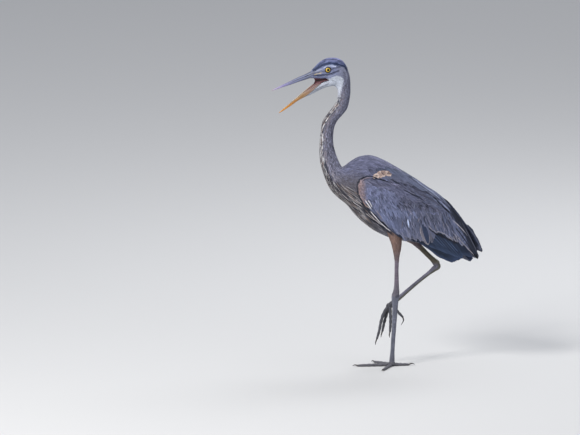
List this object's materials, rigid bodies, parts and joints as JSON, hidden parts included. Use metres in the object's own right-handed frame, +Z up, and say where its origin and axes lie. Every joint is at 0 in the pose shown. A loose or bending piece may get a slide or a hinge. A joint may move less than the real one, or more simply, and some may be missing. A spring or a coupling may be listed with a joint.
{
  "type": "heron figure",
  "caption": "Still life-size wading bird with grey-blue plumage, standing on one leg with its dagger bill open.",
  "frame": {"origin": "the middle of the flat underside of the standing left foot's ball, on the floor", "axes": "+Z up from the floor to the crown; the bird faces -X, so +X points to its tail; +Y points to its right side, across the body"},
  "size_m": [0.6194, 0.165, 0.921],
  "materials": {
    "head_plumage": "small slate-blue feathers",
    "chin_plumage": "small white feathers",
    "neck_plumage": "fine grey feathers with pale and dark flecks",
    "plumage": "blue-grey contour feathers",
    "wing_plumage": "blue-grey coverts and navy flight feathers",
    "tail_plumage": "slate tail feathers",
    "thigh_plumage": "short rufous-brown feathers",
    "bill_horn": "satin horn",
    "bill_yellow": "satin yellow horn",
    "leg_skin": "scaled grey skin",
    "claw_horn": "dark horn",
    "eye_yellow": "wet gloss, yellow iris and black pupil"
  },
  "bodies": {
    "root": {"head": "head_plumage", "chin": "chin_plumage", "bill_upper": "bill_horn", "bill_lower": "bill_yellow", "eye_left": "eye_yellow", "eye_right": "eye_yellow", "neck_upper": "neck_plumage", "neck_middle": "neck_plumage", "neck_lower": "neck_plumage", "trunk": "plumage", "tail": "tail_plumage", "wing_left": "wing_plumage", "wing_right": "wing_plumage", "thigh_left": "thigh_plumage", "thigh_right": "thigh_plumage", "shank_left": "leg_skin", "shank_right": "leg_skin", "tarsus_left": "leg_skin", "tarsus_right": "leg_skin", "foot_left": "leg_skin", "foot_right": "leg_skin", "toe_left_middle": "leg_skin", "toe_left_inner": "leg_skin", "toe_left_outer": "leg_skin", "toe_left_hallux": "leg_skin", "toe_right_middle": "leg_skin", "toe_right_inner": "leg_skin", "toe_right_outer": "leg_skin", "toe_right_hallux": "leg_skin", "claw_left_middle": "claw_horn", "claw_left_inner": "claw_horn", "claw_left_outer": "claw_horn", "claw_left_hallux": "claw_horn", "claw_right_middle": "claw_horn", "claw_right_inner": "claw_horn", "claw_right_outer": "claw_horn", "claw_right_hallux": "claw_horn"}
  },
  "joints": []
}
